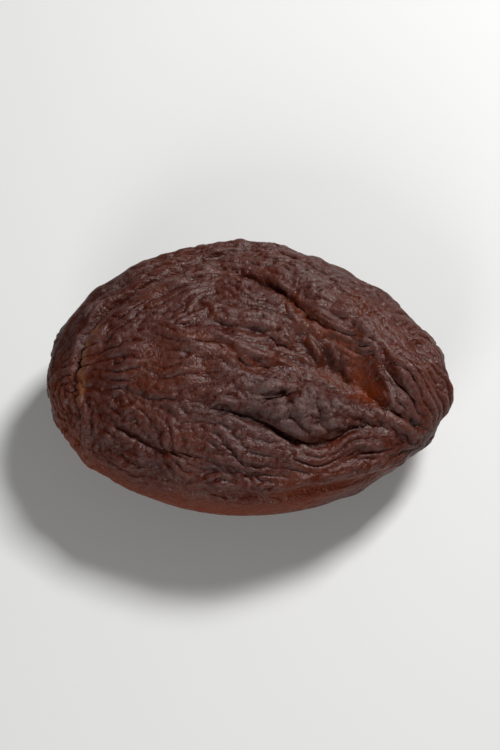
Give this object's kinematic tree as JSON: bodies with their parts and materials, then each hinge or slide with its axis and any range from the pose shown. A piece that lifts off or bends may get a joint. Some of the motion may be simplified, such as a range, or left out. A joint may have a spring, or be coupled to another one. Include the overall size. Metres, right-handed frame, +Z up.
{
  "type": "dried apricot",
  "caption": "Whole pitted dried apricot, dark and wrinkled, flattened oval with a suture groove and a hollow where the stone was pressed out",
  "frame": {"origin": "On the surface the fruit rests on, under the middle of its bounding box", "axes": "+X along the fruit's length from the blunt tip to the stem end, +Y across it, +Z up through its thickness"},
  "size_m": [0.044, 0.032, 0.0165],
  "materials": {
    "dried_skin": "satin"
  },
  "bodies": {
    "root": {"apricot": "dried_skin"}
  },
  "joints": []
}
